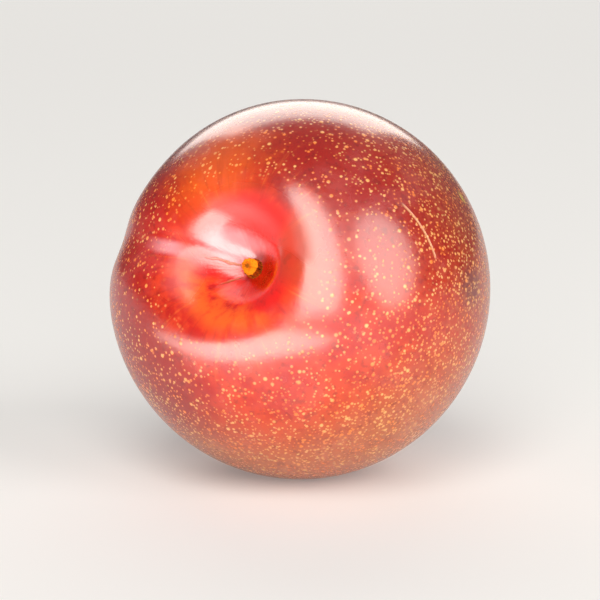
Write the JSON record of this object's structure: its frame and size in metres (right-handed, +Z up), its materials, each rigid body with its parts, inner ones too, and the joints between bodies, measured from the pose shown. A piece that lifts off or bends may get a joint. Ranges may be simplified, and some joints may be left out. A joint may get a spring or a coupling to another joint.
{
  "type": "plum",
  "caption": "Whole round plum lying on its side on a small flat spot, with a deep stem cavity, a shallow suture and the dried stub of its stalk.",
  "frame": {"origin": "centre of the small flat spot that the fruit rests on", "axes": "+Z up, -Z out of the flat spot, stem end towards -Y and 19 degrees above level, suture on the -X side"},
  "size_m": [0.0602, 0.0568, 0.0592],
  "materials": {
    "plum_skin": "smooth waxy skin, crimson over orange, with small pale dots",
    "dried_stalk": "dry, fibrous, amber to brown"
  },
  "bodies": {
    "root": {"fruit": "plum_skin", "stem_stub": "dried_stalk"}
  },
  "joints": []
}
